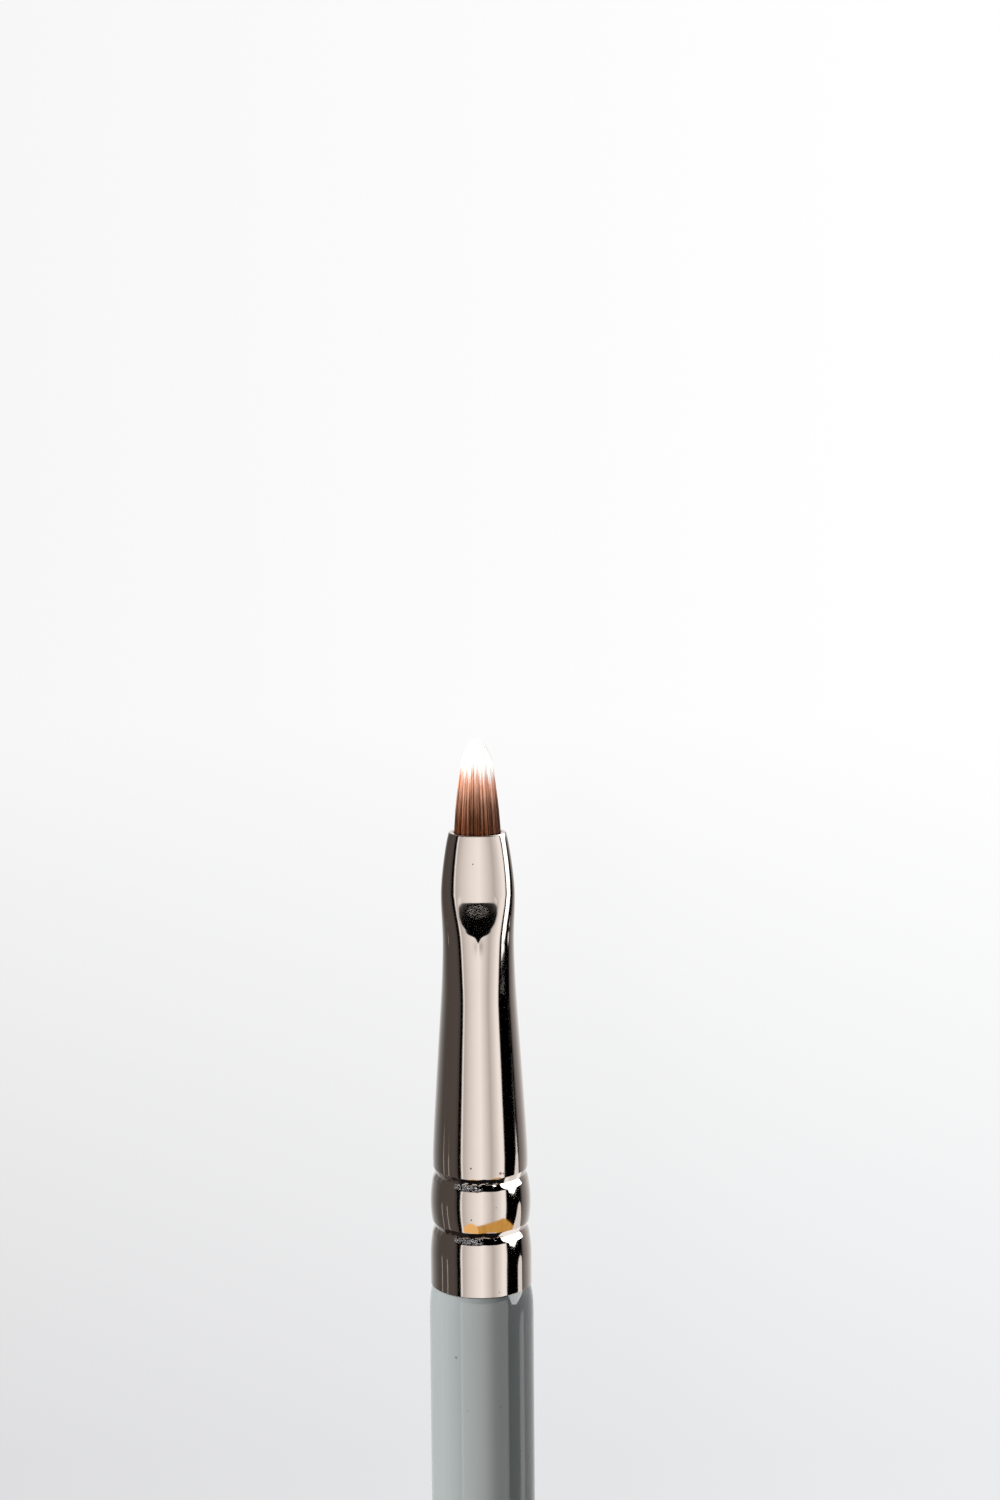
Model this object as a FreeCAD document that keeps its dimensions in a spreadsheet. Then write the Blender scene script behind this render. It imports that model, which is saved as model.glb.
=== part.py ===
# A small flat eyeliner brush, in millimetres.
#
# The brush lies on a surface at Z = 0 with its axis along Y and its filaments towards +Y.
# It rests on the straight barrel of its handle, so the axis is level, one handle radius up.
# The two pressed faces of the ferrule look up and down.
#
# Places along the brush are counted from the rear edge of the ferrule, where the shoulder
# of the handle is: positive towards the filaments, negative towards the tail.

import FreeCAD, Part
import math
import os
import Sketcher

doc = FreeCAD.newDocument("eyeliner_brush")

# Driving dimensions

DIMENSIONS = [
    ("handle_diameter", 7.3, "straight barrel of the handle"),
    ("handle_length", 128.3, "from the ferrule to the tail"),
    ("barrel_length", 40.0, "straight part of the handle behind its shoulder"),
    ("tail_diameter", 4.7, "round tail at the end of the taper"),
    ("shoulder_length", 2.6, "rounded shoulder beside the ferrule"),
    ("shoulder_drop", 0.2, "how far the shoulder falls below the barrel"),
    ("tenon_length", 14.0, "how far the handle goes into the ferrule"),
    ("tenon_chamfer", 0.5, "lead-in at the end of the tenon"),
    ("glue_film", 0.08, "glue between the tenon and the ferrule"),
    ("ferrule_length", 32.9, "rear edge to mouth"),
    ("ferrule_diameter", 7.07, "plain rear end of the ferrule"),
    ("wall", 0.35, "metal of the ferrule"),
    ("edge_chamfer", 0.12, "trimmed rear edge"),
    ("bead_diameter", 6.97, "bead between the two crimps"),
    ("crimp_curve", 3.0, "radius of the rolls that press the crimps"),
    ("rear_crimp", 4.3, "rear edge to the bottom of the rear crimp"),
    ("rear_crimp_diameter", 6.57, "tube at the bottom of the rear crimp"),
    ("front_crimp", 8.25, "rear edge to the bottom of the front crimp"),
    ("front_crimp_diameter", 6.48, "tube at the bottom of the front crimp"),
    ("cone_diameter", 6.65, "thick end of the cone, in front of the front crimp"),
    ("neck_diameter", 5.27, "thin end of the cone, where the pressing starts"),
    ("neck_place", 20.7, "rear edge to the thin end of the cone"),
    ("waist_width", 4.94, "width halfway between the neck and the fold"),
    ("press_length", 4.8, "mouth to the fold where the pressed faces end"),
    ("fold_width", 5.12, "width of the ferrule at the fold"),
    ("fold_depth", 2.5, "thickness of the ferrule at the fold"),
    ("mouth_width", 3.98, "width of the mouth"),
    ("mouth_depth", 2.3, "thickness of the mouth"),
    ("tuft_slip", 0.03, "room between the filaments and the metal"),
    ("tuft_reach", 6.75, "filaments in front of the mouth"),
    ("flute_depth", 0.07, "depth of the flutes between the clumps of filaments"),
    ("root_diameter", 2.5, "bundle of filaments at its root"),
    ("root_depth", 12.4, "how far the filaments go into the ferrule"),
    ("plug_length", 4.0, "epoxy around the root of the filaments"),
    ("plug_floor", 0.8, "epoxy behind the root of the filaments"),
]

sheet = doc.addObject("Spreadsheet::Sheet", "Sizes")
for row, (alias, size, meaning) in enumerate(DIMENSIONS, 1):
    sheet.set(f"A{row}", meaning)
    sheet.set(f"B{row}", str(size))
    sheet.setAlias(f"B{row}", alias)
doc.recompute()

# Radii and places that follow from the driving dimensions

HANDLE_RADIUS = "(Sizes.handle_diameter / 2)"
REAR_RADIUS = "(Sizes.ferrule_diameter / 2)"
REAR_ROOT = "(Sizes.rear_crimp_diameter / 2)"
BEAD_RADIUS = "(Sizes.bead_diameter / 2)"
FRONT_ROOT = "(Sizes.front_crimp_diameter / 2)"
CONE_RADIUS = "(Sizes.cone_diameter / 2)"
NECK_RADIUS = "(Sizes.neck_diameter / 2)"
FOLD_PLACE = "(Sizes.ferrule_length - Sizes.press_length)"
ROOT_PLACE = "(Sizes.ferrule_length - Sizes.root_depth)"
REAR_EDGE_Y = "((Sizes.handle_length - Sizes.ferrule_length - Sizes.tuft_reach) / 2)"


def value(expression):
    """The number that an expression on the sheet gives."""
    return float(sheet.evalExpression(expression))


def lay(piece, along="0"):
    """Puts a piece on the brush's axis, level and one handle radius up, at a place along
    it. The whole brush is centred on Y = 0."""
    piece.setExpression("Placement.Base.y", f"{REAR_EDGE_Y} + {along}")
    piece.setExpression("Placement.Base.z", HANDLE_RADIUS)


# Outlines of turned pieces. A corner is (radius, place), where a line leaves it, or
# (radius, place, arc radius, side), where an arc leaves it with its centre on that side.


def arc_between(start, end, radius, side):
    """The arc of less than half a turn that leaves start and reaches end."""
    chord = end - start
    across = FreeCAD.Vector(-chord.y, chord.x, 0).normalize()
    reach = math.sqrt(radius**2 - (chord.Length / 2) ** 2)
    centre = (start + end) / 2 + across * (reach if side == "left" else -reach)
    first, last = (start, end) if side == "left" else (end, start)
    first_angle = math.atan2(first.y - centre.y, first.x - centre.x)
    last_angle = math.atan2(last.y - centre.y, last.x - centre.x)
    circle = Part.Circle(centre, FreeCAD.Vector(0, 0, 1), radius)
    return Part.ArcOfCircle(circle, first_angle, last_angle)


def hold(sketch, kind, expression, *where):
    """Ties a length in a sketch to an expression."""
    index = sketch.addConstraint(Sketcher.Constraint(kind, *where, value(expression)))
    sketch.setExpression(f"Constraints[{index}]", expression)


def draw(sketch, corners):
    """Draws a closed outline with every corner and arc tied to the sheet."""
    points = [FreeCAD.Vector(value(c[0]), value(c[1]), 0) for c in corners]
    edges = []
    for number, corner in enumerate(corners):
        start, end = points[number], points[(number + 1) % len(points)]
        if len(corner) == 2:
            edge = sketch.addGeometry(Part.LineSegment(start, end), False)
            edges.append((edge, 1, 2))
            continue
        radius, side = corner[2:]
        edge = sketch.addGeometry(arc_between(start, end, value(radius), side), False)
        edges.append((edge, 1, 2) if side == "left" else (edge, 2, 1))
        hold(sketch, "Radius", radius, edge)
    for number, (radius, place) in enumerate(c[:2] for c in corners):
        edge, start, end = edges[number]
        follower, follower_start, _ = edges[(number + 1) % len(edges)]
        joint = Sketcher.Constraint("Coincident", edge, end, follower, follower_start)
        sketch.addConstraint(joint)
        # A sketch's own numbers for its level and upright axes are -1 and -2
        for kind, expression, axis in (
            ("DistanceX", radius, -2),
            ("DistanceY", place, -1),
        ):
            if expression == "0":
                on_axis = Sketcher.Constraint("PointOnObject", edge, start, axis)
                sketch.addConstraint(on_axis)
            else:
                hold(sketch, kind, expression, edge, start)


def turned(name, corners):
    """A solid turned about the brush's axis."""
    body = doc.addObject("PartDesign::Body", name)
    outline = body.newObject("Sketcher::SketchObject", name + "Outline")
    plane = next(o for o in body.Origin.OriginFeatures if o.Role == "XY_Plane")
    outline.AttachmentSupport = (plane, [""])
    outline.MapMode = "FlatFace"
    draw(outline, corners)
    turn = body.newObject("PartDesign::Revolution", name + "Turn")
    turn.Profile = outline
    turn.ReferenceAxis = (outline, ["V_Axis"])
    turn.Angle = 360
    body.Tip = turn
    lay(body)
    return body


# The rolled tube. Its outer skin, its bore and the tenon follow the same crimps at
# different depths, so each keeps to the next.


def flank_run(low, high):
    """Length along the brush of a crimp's flank between two radii. The roll leaves it as
    two equal arcs, level at both ends."""
    return f"sqrt(4 * Sizes.crimp_curve * ({high} - {low}) - ({high} - {low}) ^ 2)"


CRIMP_START = f"(Sizes.rear_crimp - {flank_run(REAR_ROOT, REAR_RADIUS)})"
BEAD_START = f"(Sizes.rear_crimp + {flank_run(REAR_ROOT, BEAD_RADIUS)})"
BEAD_END = f"(Sizes.front_crimp - {flank_run(FRONT_ROOT, BEAD_RADIUS)})"
CONE_PLACE = f"(Sizes.front_crimp + {flank_run(FRONT_ROOT, CONE_RADIUS)})"


def cone_radius(place, depth):
    """Radius of the cone at a place along it, at a depth below the outer skin."""
    slope = f"({CONE_RADIUS} - {NECK_RADIUS}) / (Sizes.neck_place - {CONE_PLACE})"
    return f"({NECK_RADIUS} + {slope} * (Sizes.neck_place - {place}) - {depth})"


def groove(top, top_place, root, root_place, last, last_place):
    """The outer skin of one crimp, from one shoulder to the other: a convex arc, the arc
    of the roll, and a convex arc. Its far end is left out."""
    return [
        (top, top_place, "Sizes.crimp_curve", "left"),
        (
            f"({top} + {root}) / 2",
            f"({top_place} + {root_place}) / 2",
            "Sizes.crimp_curve",
            "right",
        ),
        (
            f"({root} + {last}) / 2",
            f"({root_place} + {last_place}) / 2",
            "Sizes.crimp_curve",
            "left",
        ),
    ]


def rolled_skin():
    """The outer skin from behind the rear crimp to the thick end of the cone."""
    rear = (REAR_RADIUS, CRIMP_START, REAR_ROOT, "Sizes.rear_crimp", BEAD_RADIUS, BEAD_START)
    front = (BEAD_RADIUS, BEAD_END, FRONT_ROOT, "Sizes.front_crimp", CONE_RADIUS, CONE_PLACE)
    bead = [(BEAD_RADIUS, BEAD_START)]
    return groove(*rear) + bead + groove(*front) + [(CONE_RADIUS, CONE_PLACE)]


def pressed_skin(depth):
    """The same stretch at a depth below the outer skin, where the flanks are straight."""
    corners = (
        (REAR_RADIUS, CRIMP_START),
        (REAR_ROOT, "Sizes.rear_crimp"),
        (BEAD_RADIUS, BEAD_START),
        (BEAD_RADIUS, BEAD_END),
        (FRONT_ROOT, "Sizes.front_crimp"),
        (CONE_RADIUS, CONE_PLACE),
    )
    return [(f"{radius} - {depth}", place) for radius, place in corners]


# Handle: turned wood, with its tenon. The long taper is a cone that touches the round
# tail. The crimps press the metal into the tenon, and glue fills the gap in front of them.

TENON_SKIN = "(Sizes.wall + Sizes.glue_film)"
TENON_SIDE = "(Sizes.tenon_length - Sizes.tenon_chamfer)"
SHOULDER_CURVE = (
    "(Sizes.shoulder_length ^ 2 + Sizes.shoulder_drop ^ 2) / (2 * Sizes.shoulder_drop)"
)
TAIL_RADIUS = "(Sizes.tail_diameter / 2)"
TAIL_CENTRE = f"(Sizes.handle_length - {TAIL_RADIUS})"
TAPER_START = "(Sizes.shoulder_length + Sizes.barrel_length)"
TAPER_RUN = f"({TAIL_CENTRE} - {TAPER_START})"
TAPER_ANGLE = (
    f"(atan({HANDLE_RADIUS} / {TAPER_RUN})"
    f" - asin({TAIL_RADIUS} / sqrt({HANDLE_RADIUS} ^ 2 + {TAPER_RUN} ^ 2)))"
)

tail_and_taper = [
    ("0", "-Sizes.handle_length", TAIL_RADIUS, "left"),
    (
        f"{TAIL_RADIUS} * cos({TAPER_ANGLE})",
        f"-{TAIL_CENTRE} - {TAIL_RADIUS} * sin({TAPER_ANGLE})",
    ),
    (HANDLE_RADIUS, f"-{TAPER_START}"),
]
shoulder = [
    (HANDLE_RADIUS, "-Sizes.shoulder_length", SHOULDER_CURVE, "left"),
    (f"{HANDLE_RADIUS} - Sizes.shoulder_drop", "0"),
    (f"{REAR_RADIUS} - Sizes.wall", "0"),
]
tenon_front = [
    (f"{CONE_RADIUS} - {TENON_SKIN}", CONE_PLACE),
    (cone_radius(TENON_SIDE, TENON_SKIN), TENON_SIDE),
    (f"{cone_radius(TENON_SIDE, TENON_SKIN)} - Sizes.tenon_chamfer", "Sizes.tenon_length"),
    ("0", "Sizes.tenon_length"),
]
handle = turned(
    "Handle", tail_and_taper + shoulder + pressed_skin("Sizes.wall") + tenon_front
)
handle.Label = "handle"

# Glue: the film between the tenon and the bore, in front of the crimps

glue = turned(
    "Glue",
    [
        (f"{CONE_RADIUS} - {TENON_SKIN}", CONE_PLACE),
        (cone_radius(TENON_SIDE, TENON_SKIN), TENON_SIDE),
        (cone_radius(TENON_SIDE, "Sizes.wall"), TENON_SIDE),
        (f"{CONE_RADIUS} - Sizes.wall", CONE_PLACE),
    ],
)
glue.Label = "tenon_glue"

# Ferrule: one drawn tube. Its front is pressed between jaws into an oval, which leaves a
# steep dished step behind a fold across both faces.

# Shares of the way from the neck to the fold, closer where the step is steep
STEP_SHARES = [1, 0.6, 0.38, 0.24, 0.14, 0.06, 0]
STEP_FALL = 3.2
MOUTH_SECTIONS = 5
MOUTH_DRAW = 1.75


def oval(name, place, half_width, half_depth):
    """An ellipse across the brush, at a place along it."""
    ellipse = doc.addObject("Part::Ellipse", name)
    upright = FreeCAD.Rotation(FreeCAD.Vector(1, 0, 0), 90)
    ellipse.Placement = FreeCAD.Placement(FreeCAD.Vector(), upright)
    ellipse.setExpression("MajorRadius", half_width)
    ellipse.setExpression("MinorRadius", half_depth)
    lay(ellipse, place)
    return ellipse


def step_oval(name, share, depth):
    """A section between the fold, where share is 0, and the neck, where it is 1. The width
    falls into the waist, and the flattening dies away steeply behind the fold."""
    between = f"Sizes.fold_width + (Sizes.neck_diameter - Sizes.fold_width) * {share}"
    waist = "((Sizes.fold_width + Sizes.neck_diameter) / 2 - Sizes.waist_width)"
    width = f"({between} - {waist} * sin(180 * {share}))"
    flattening = f"(Sizes.fold_width - Sizes.fold_depth) * (1 - {share}) ^ {STEP_FALL}"
    return oval(
        name,
        f"({FOLD_PLACE} - ({FOLD_PLACE} - Sizes.neck_place) * {share})",
        f"{width} / 2 - {depth}",
        f"({width} - {flattening}) / 2 - {depth}",
    )


def mouth_oval(name, share, depth):
    """A section between the fold, where share is 0, and the mouth, where it is 1. The sides
    draw in faster and faster towards the mouth."""
    draw_in = f"(Sizes.fold_width - Sizes.mouth_width) * {share} ^ {MOUTH_DRAW}"
    thinning = f"(Sizes.fold_depth - Sizes.mouth_depth) * {share}"
    return oval(
        name,
        f"({FOLD_PLACE} + Sizes.press_length * {share})",
        f"(Sizes.fold_width - {draw_in}) / 2 - {depth}",
        f"(Sizes.fold_depth - {thinning}) / 2 - {depth}",
    )


def loft(name, sections, ruled):
    """A solid through closed sections, straight from each to the next or smooth."""
    solid = doc.addObject("Part::Loft", name)
    solid.Sections = sections
    solid.Solid = True
    solid.Ruled = ruled
    return solid


def tube_form(name, rolled_corners, depth):
    """The solid within the whole tube at a depth below its outer skin: rolled up to the
    neck, dished up to the fold, and pressed up to the mouth."""
    neck = "Sizes.neck_place"
    neck_corners = [(f"{NECK_RADIUS} - {depth}", neck), ("0", neck)]
    rolled = turned(name + "Rolled", [("0", "0")] + rolled_corners + neck_corners)
    sections = [step_oval(f"{name}Step{k}", s, depth) for k, s in enumerate(STEP_SHARES)]
    for k in range(1, MOUTH_SECTIONS + 1):
        sections.append(mouth_oval(f"{name}Mouth{k}", k / MOUTH_SECTIONS, depth))
    form = doc.addObject("Part::Fuse", name)
    form.Base = rolled
    form.Tool = loft(name + "Pressed", sections, True)
    return form


trimmed_edge = [
    (f"{REAR_RADIUS} - Sizes.edge_chamfer", "0"),
    (REAR_RADIUS, "Sizes.edge_chamfer"),
]
bore_edge = [(f"{REAR_RADIUS} - Sizes.wall", "0")]
outside = tube_form("Outside", trimmed_edge + rolled_skin(), "0")
bore = tube_form("Bore", bore_edge + pressed_skin("Sizes.wall"), "Sizes.wall")
ferrule = doc.addObject("Part::Cut", "Ferrule")
ferrule.Base = outside
ferrule.Tool = bore
ferrule.Label = "ferrule"

# Filaments: one bundle, fluted between its clumps. It fills the mouth, is rounder at its
# root, and thins to a flat rounded point.

FLUTES = 24
FLUTE_UNEVEN = 0.35
FLUTE_RHYTHM = 5
POINT_SHARES = [0, 0.25, 0.5, 0.7, 0.85, 0.95, 1]
POINT_ARCH = 0.985
POINT_THINNING = 1.5


def bundle(name, place, width, depth, fullness):
    """A section across the filaments: crests on an ellipse, with a valley between each two.
    The valleys are uneven, and fullness scales them with the bundle."""
    half_width, half_depth = width / 2, depth / 2
    # Moves the crests of a flat bundle apart along its faces, so that they stay even
    spread = (half_width - half_depth) / (half_width + half_depth) / 2
    points = []
    for number in range(2 * FLUTES):
        turn = math.pi * number / FLUTES
        turn += spread * math.sin(2 * turn)
        crest = FreeCAD.Vector(half_width * math.cos(turn), 0, half_depth * math.sin(turn))
        outward = FreeCAD.Vector(half_depth * math.cos(turn), 0, half_width * math.sin(turn))
        unevenness = 1 + FLUTE_UNEVEN * math.sin(FLUTE_RHYTHM * number)
        is_valley = number % 2
        inset = value("Sizes.flute_depth") * is_valley * unevenness * fullness
        points.append(crest - outward.normalize() * inset)
    section = doc.addObject("Part::Feature", name)
    section.Shape = Part.makePolygon(points + points[:1])
    lay(section, place)
    return section


def filament_sections():
    """The sections of the root, from the epoxy to the mouth, and of the free filaments."""
    clear = 2 * (value("Sizes.wall") + value("Sizes.tuft_slip"))
    mouth_width = value("Sizes.mouth_width") - clear
    mouth_depth = value("Sizes.mouth_depth") - clear
    fold_depth = value("Sizes.fold_depth") - clear
    root = value("Sizes.root_diameter")
    at_mouth = bundle("TuftMouth", "Sizes.ferrule_length", mouth_width, mouth_depth, 1)
    inside = [
        bundle("TuftRoot", ROOT_PLACE, root, root, 1),
        bundle("TuftFold", FOLD_PLACE, mouth_width, fold_depth, 1),
        at_mouth,
    ]
    free = [at_mouth]
    for number, share in enumerate(POINT_SHARES[1:]):
        arch = math.sqrt(1 - (POINT_ARCH * share) ** 2)
        free.append(
            bundle(
                f"TuftPoint{number}",
                f"(Sizes.ferrule_length + Sizes.tuft_reach * {share})",
                mouth_width * arch,
                mouth_depth * arch**POINT_THINNING,
                arch**POINT_THINNING,
            )
        )
    return inside, free


inside_sections, free_sections = filament_sections()
tuft = doc.addObject("Part::Fuse", "Tuft")
tuft.Base = loft("TuftInside", inside_sections, True)
tuft.Tool = loft("TuftFree", free_sections, False)
tuft.Label = "filament_tuft"

# Epoxy: it fills the bore around the root of the filaments, and a little behind it

slab = doc.addObject("Part::Cylinder", "PlugSlab")
slab.Placement = FreeCAD.Placement(
    FreeCAD.Vector(), FreeCAD.Rotation(FreeCAD.Vector(1, 0, 0), -90)
)
slab.setExpression("Radius", CONE_RADIUS)
slab.setExpression("Height", "Sizes.plug_floor + Sizes.plug_length")
lay(slab, f"({ROOT_PLACE} - Sizes.plug_floor)")
filled_bore = doc.addObject("Part::Common", "FilledBore")
filled_bore.Base = bore
filled_bore.Tool = slab
plug = doc.addObject("Part::Cut", "Plug")
plug.Base = filled_bore
plug.Tool = tuft
plug.Label = "root_plug"

# Checks, then one file for each piece

doc.recompute()
for item in doc.Objects:
    if "Invalid" in item.State or "Error" in item.State:
        raise RuntimeError(f"{item.Label} wasn't made: {item.State}")

os.makedirs("parts", exist_ok=True)
for piece in (handle, glue, ferrule, tuft, plug):
    shape = piece.Shape
    if shape.isNull() or not shape.isValid() or len(shape.Solids) != 1:
        raise RuntimeError(f"{piece.Label} isn't one sound solid")
    shape.exportStep(f"parts/{piece.Label}.step")
    print(f"{piece.Label}: {shape.Volume:.3f} mm3, {len(shape.Faces)} faces")
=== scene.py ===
"""Looks of the eyeliner brush: lacquered handle, polished ferrule, tapered filaments."""

import math
import random

import bmesh
import bpy
from mathutils import Matrix, Vector


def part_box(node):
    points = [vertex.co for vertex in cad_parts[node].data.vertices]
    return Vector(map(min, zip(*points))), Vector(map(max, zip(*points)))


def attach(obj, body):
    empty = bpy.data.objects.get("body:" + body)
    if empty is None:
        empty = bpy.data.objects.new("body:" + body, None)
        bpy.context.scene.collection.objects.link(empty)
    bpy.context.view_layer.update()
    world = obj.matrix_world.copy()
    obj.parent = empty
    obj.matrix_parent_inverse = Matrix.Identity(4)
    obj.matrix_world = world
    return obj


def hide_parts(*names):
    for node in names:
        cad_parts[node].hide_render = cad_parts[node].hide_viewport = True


bl_info = {
    "name": "Eyeliner Brush",
    "version": (1, 0, 0),
    "blender": (4, 5, 0),
    "location": "3D View > Sidebar > Brush",
    "description": "Builds the looks of a small flat eyeliner brush on its CAD frame",
    "category": "Object",
}

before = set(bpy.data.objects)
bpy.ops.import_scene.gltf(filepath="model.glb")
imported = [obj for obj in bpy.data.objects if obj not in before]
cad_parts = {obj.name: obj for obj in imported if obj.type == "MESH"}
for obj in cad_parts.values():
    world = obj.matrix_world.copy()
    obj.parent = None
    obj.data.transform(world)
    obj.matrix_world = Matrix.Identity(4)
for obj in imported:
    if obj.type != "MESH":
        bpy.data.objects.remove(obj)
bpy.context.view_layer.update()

MM = 0.001
# The ferrule's rear edge and the height of the brush's axis, in metres
REAR_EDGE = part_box("ferrule")[0].y
AXIS_HEIGHT = (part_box("handle")[0].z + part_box("handle")[1].z) / 2


def place_of(metres):
    """A place is counted in millimetres along the brush, from the ferrule's rear edge."""
    return round((metres - REAR_EDGE) / MM, 3)


TAIL = place_of(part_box("handle")[0].y)
MOUTH = place_of(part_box("ferrule")[1].y)
TIP = place_of(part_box("filament_tuft")[1].y)


# Shader building


class Socket:
    """A shader socket that Python's operators work on: each adds a Math node."""

    def __init__(self, shader, socket):
        self.shader = shader
        self.socket = socket

    def __add__(self, other):
        return self.shader.maths("ADD", self, other)

    def __radd__(self, other):
        return self.shader.maths("ADD", other, self)

    def __sub__(self, other):
        return self.shader.maths("SUBTRACT", self, other)

    def __rsub__(self, other):
        return self.shader.maths("SUBTRACT", other, self)

    def __mul__(self, other):
        return self.shader.maths("MULTIPLY", self, other)

    def __rmul__(self, other):
        return self.shader.maths("MULTIPLY", other, self)

    def __truediv__(self, other):
        return self.shader.maths("DIVIDE", self, other)

    def __rtruediv__(self, other):
        return self.shader.maths("DIVIDE", other, self)

    def __pow__(self, other):
        return self.shader.maths("POWER", self, other)

    def __rpow__(self, other):
        return self.shader.maths("POWER", other, self)

    def __abs__(self):
        return self.shader.maths("ABSOLUTE", self)


class Shader:
    """The node tree of one material, or of the world."""

    def __init__(self, owner):
        owner.use_nodes = True
        self.tree = owner.node_tree
        self.tree.nodes.clear()

    def node(self, kind, settings=None, inputs=None, output=0):
        """Adds a node, sets it up, fills or links its sockets and gives one output."""
        made = self.tree.nodes.new(kind)
        for name, value in (settings or {}).items():
            if name == "stops":
                self._set_stops(made.color_ramp, value)
            else:
                setattr(made, name, value)
        for name, value in (inputs or {}).items():
            if isinstance(value, Socket):
                self.tree.links.new(value.socket, made.inputs[name])
            else:
                made.inputs[name].default_value = value
        return Socket(self, made.outputs[output]) if made.outputs else None

    def _set_stops(self, ramp, stops):
        ramp.elements[0].position, ramp.elements[0].color = stops[0]
        ramp.elements[1].position, ramp.elements[1].color = stops[-1]
        for position, colour in stops[1:-1]:
            ramp.elements.new(position).color = colour

    def maths(self, operation, *values):
        """A Math node on numbers and sockets."""
        return self.node("ShaderNodeMath", {"operation": operation}, dict(enumerate(values)))

    def split(self, vector):
        """The three numbers of a vector."""
        parts = self.node("ShaderNodeSeparateXYZ", None, {0: vector})
        outputs = parts.socket.node.outputs
        return [Socket(self, outputs[k]) for k in range(3)]

    def coordinates(self):
        """The piece's own coordinates, in millimetres."""
        where = self.node("ShaderNodeTexCoord", None, None, "Object")
        inputs = {0: where, "Scale": 1 / MM}
        return self.node("ShaderNodeVectorMath", {"operation": "SCALE"}, inputs)

    def ramp(self, factor, stops):
        """A colour ramp. The stops are (position, colour)."""
        return self.node("ShaderNodeValToRGB", {"stops": stops}, {"Fac": factor})

    def mix(self, factor, first, second):
        """A mix of two colours."""
        inputs = {0: factor, 6: first, 7: second}
        return self.node("ShaderNodeMix", {"data_type": "RGBA"}, inputs, 2)

    def step(self, value, low, high):
        """0 below low, 1 above high, and smooth between. It falls where low is above high."""
        inputs = {"Value": value, "From Min": low, "From Max": high}
        settings = {"interpolation_type": "SMOOTHSTEP"}
        return self.node("ShaderNodeMapRange", settings, inputs)

    def noise(self, where, scale, detail):
        """Noise whose scale is counted per unit of the coordinates."""
        inputs = {"Vector": where, "Scale": scale, "Detail": detail}
        return self.node("ShaderNodeTexNoise", None, inputs, "Fac")

    def stretch(self, where, scale, shift=(0, 0, 0)):
        """Coordinates scaled by a different number along each axis."""
        inputs = {"Vector": where, "Scale": scale, "Location": shift}
        return self.node("ShaderNodeMapping", None, inputs)

    def bump(self, height, strength, distance):
        """A normal from a height in millimetres."""
        inputs = {"Height": height, "Strength": strength, "Distance": distance}
        return self.node("ShaderNodeBump", None, inputs)

    def spot(self, where, centre, radius):
        """1 inside a ball of that radius, 0 outside it, with a short soft edge."""
        settings = {"operation": "DISTANCE"}
        gap = self.node("ShaderNodeVectorMath", settings, {0: where, 1: centre}, "Value")
        return self.step(gap, radius * 1.25, radius * 0.75)

    def specks(self, where, base, share, specks):
        """Small specks over a base colour. Each is (centre, radius, colour)."""
        for centre, radius, colour in specks:
            base = self.mix(self.spot(where, centre, radius) * share, base, colour)
        return base

    def rays(self, *kinds):
        """1 for rays of a kind and 0 for others, kind by kind."""
        outputs = self.node("ShaderNodeLightPath").socket.node.outputs
        return [Socket(self, outputs[kind]) for kind in kinds]

    def finish(self, inputs):
        """Ends the material with one Principled shader."""
        bsdf = self.node("ShaderNodeBsdfPrincipled", None, inputs)
        self.node("ShaderNodeOutputMaterial", None, {"Surface": bsdf})


def new_shader(name):
    material = bpy.data.materials.new(name)
    return material, Shader(material)


def rgba(colour):
    return (*colour, 1.0)


def grey(level):
    return (level, level, level, 1.0)


# Mesh building


def smooth_line(points, place):
    """The height at a place on a smooth line through points (place, height)."""
    if place <= points[0][0]:
        return points[0][1]
    for number, (high, last) in enumerate(points[1:], 1):
        if place <= high:
            break
    else:
        return points[-1][1]
    low, first = points[number - 1]
    earlier, before = points[max(number - 2, 0)]
    later, after = points[min(number + 1, len(points) - 1)]
    share = (place - low) / (high - low)
    rise_in = (last - before) / (high - earlier) * (high - low)
    rise_out = (after - first) / (later - low) * (high - low)
    cube, square = share**3, share**2
    bend = (cube - 2 * square + share) * rise_in + (cube - square) * rise_out
    return (2 * cube - 3 * square + 1) * first + (3 * square - 2 * cube) * last + bend


def evenly(start, gap, count):
    """Places in a row, a gap apart."""
    return [start + gap * number for number in range(count)]


def shares(count):
    """Even shares of a stretch, from its first step to its whole."""
    return [number / count for number in range(1, count + 1)]


def new_object(name, bm, material):
    """Makes an object from a finished bmesh."""
    mesh = bpy.data.meshes.new(name)
    bm.to_mesh(mesh)
    bm.free()
    mesh.materials.append(material)
    made = bpy.data.objects.new(name, mesh)
    bpy.context.scene.collection.objects.link(made)
    return made


def new_piece(name, bm, material, slot, *nodes):
    """Makes a smooth piece of the brush, which rides on the root and stands for nodes."""
    piece = new_object(name, bm, material)
    for face in piece.data.polygons:
        face.use_smooth = True
    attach(piece, "root")
    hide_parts(*nodes)


def start_ring(bm, steps, radius, place):
    """A ring across the brush, around its axis. Radius and place are in millimetres."""
    upright = Matrix.Rotation(math.radians(90), 4, "X")
    centre = Matrix.Translation((0, REAR_EDGE + place * MM, AXIS_HEIGHT))
    return bmesh.ops.create_circle(
        bm, segments=steps, radius=radius * MM, matrix=centre @ upright
    )["verts"]


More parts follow.
